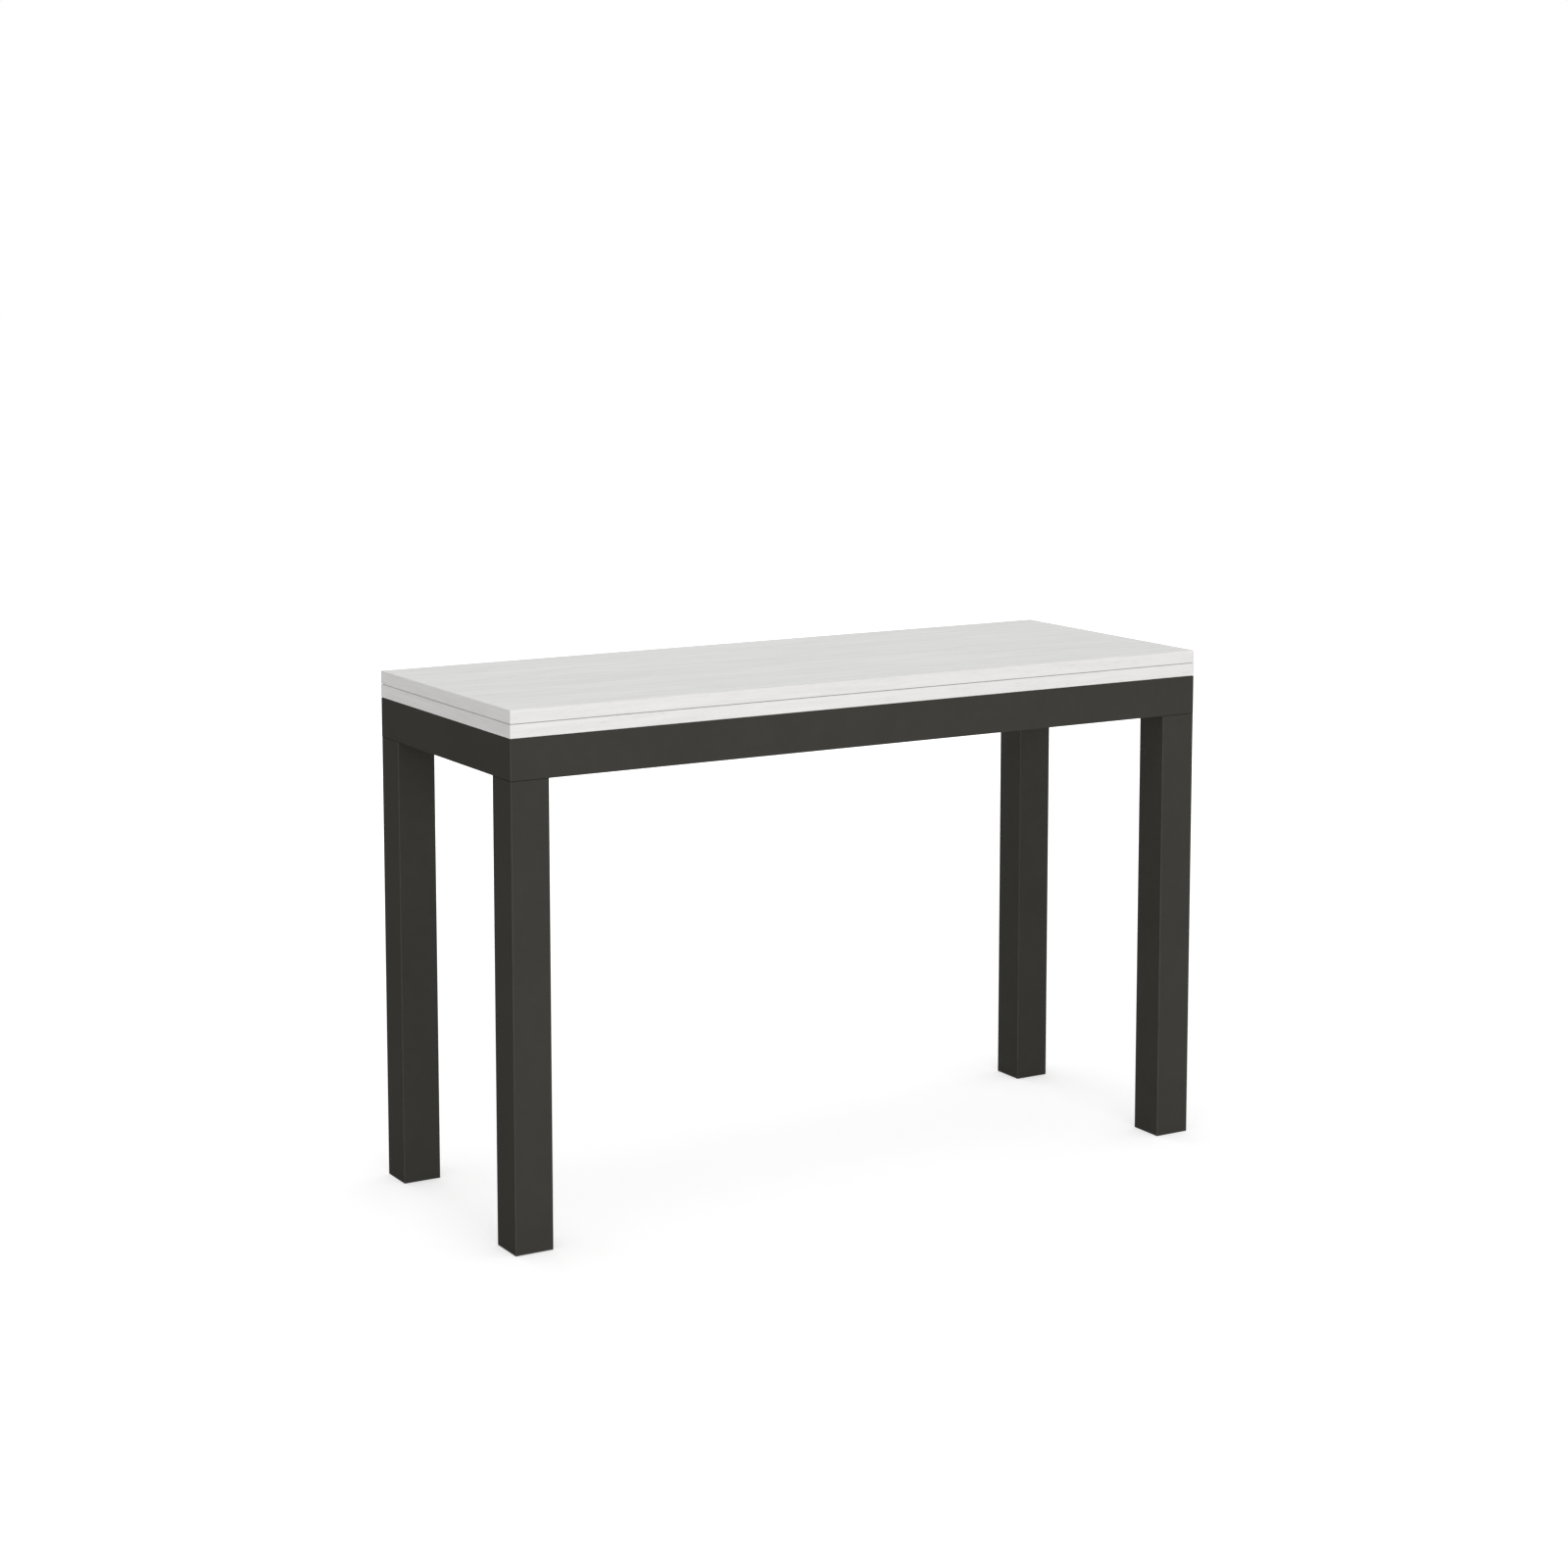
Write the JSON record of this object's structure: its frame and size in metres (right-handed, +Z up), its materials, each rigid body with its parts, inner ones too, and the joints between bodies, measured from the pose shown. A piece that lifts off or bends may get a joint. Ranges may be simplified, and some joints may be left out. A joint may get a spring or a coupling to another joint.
{
  "type": "extending console table",
  "caption": "Rectangular console table with a steel apron flush over square legs; its stacked leaves slide forward and unfold like a book to double the depth of the top.",
  "frame": {"origin": "on the floor under the centre of the closed top", "axes": "+X along the length, -Y to the front that the leaf slides towards, +Z up"},
  "size_m": [1.2, 0.45, 0.7841],
  "materials": {
    "ash_laminate": "white ash grain laminate, satin matt",
    "ash_edge": "white ash grain edge band",
    "anthracite_coat": "fine textured matt powder coat",
    "zinc_steel": "zinc plated",
    "foot_plastic": "matt black",
    "stop_rubber": "matt black",
    "slider_nylon": "natural nylon",
    "glide_tape": "smooth low-friction tape",
    "hinge_nickel": "satin nickel plate",
    "clear_bumper": "clear soft dome"
  },
  "bodies": {
    "frame": {"corner_plate_back_left": "anthracite_coat", "corner_plate_back_right": "anthracite_coat", "corner_plate_front_left": "anthracite_coat", "corner_plate_front_right": "anthracite_coat", "foot_cap_back_left": "foot_plastic", "foot_cap_back_right": "foot_plastic", "foot_cap_front_left": "foot_plastic", "foot_cap_front_right": "foot_plastic", "glide_strips": "glide_tape", "guide_brackets": "zinc_steel", "guide_left": "zinc_steel", "guide_right": "zinc_steel", "guide_screws": "zinc_steel", "guide_stops": "stop_rubber", "leg_back_left": "anthracite_coat", "leg_back_right": "anthracite_coat", "leg_bolts": "zinc_steel", "leg_front_left": "anthracite_coat", "leg_front_right": "anthracite_coat", "leg_plate_back_left": "anthracite_coat", "leg_plate_back_right": "anthracite_coat", "leg_plate_front_left": "anthracite_coat", "leg_plate_front_right": "anthracite_coat", "leg_washers": "zinc_steel", "rail_back": "anthracite_coat", "rail_front": "anthracite_coat", "rail_left": "anthracite_coat", "rail_right": "anthracite_coat"},
    "lower_leaf": {"bumpers": "clear_bumper", "lower_band_back": "ash_edge", "lower_band_front": "ash_edge", "lower_band_left": "ash_edge", "lower_band_right": "ash_edge", "lower_hinge_block_centre": "hinge_nickel", "lower_hinge_block_left": "hinge_nickel", "lower_hinge_block_right": "hinge_nickel", "lower_hinge_pins": "hinge_nickel", "lower_hinge_screws": "hinge_nickel", "lower_panel": "ash_laminate", "slider_left": "slider_nylon", "slider_right": "slider_nylon", "slider_screws": "zinc_steel"},
    "hinge_links": {"hinge_link_centre": "hinge_nickel", "hinge_link_left": "hinge_nickel", "hinge_link_right": "hinge_nickel"},
    "upper_leaf": {"upper_band_back": "ash_edge", "upper_band_front": "ash_edge", "upper_band_left": "ash_edge", "upper_band_right": "ash_edge", "upper_hinge_block_centre": "hinge_nickel", "upper_hinge_block_left": "hinge_nickel", "upper_hinge_block_right": "hinge_nickel", "upper_hinge_pins": "hinge_nickel", "upper_hinge_screws": "hinge_nickel", "upper_panel": "ash_laminate"}
  },
  "joints": [
    {"name": "top_slide", "type": "slide", "parent": "frame", "child": "lower_leaf", "axis": [0, -1, 0], "range_m": [0, 0.225]},
    {"name": "link_hinge", "type": "hinge", "parent": "lower_leaf", "child": "hinge_links", "pos_m": [0, 0.22294, 0.76144], "axis": [-1, 0, 0], "range_deg": [0, 90]},
    {"name": "leaf_hinge", "type": "hinge", "parent": "hinge_links", "child": "upper_leaf", "pos_m": [0, 0.22294, 0.76616], "axis": [-1, 0, 0], "range_deg": [0, 90]}
  ]
}
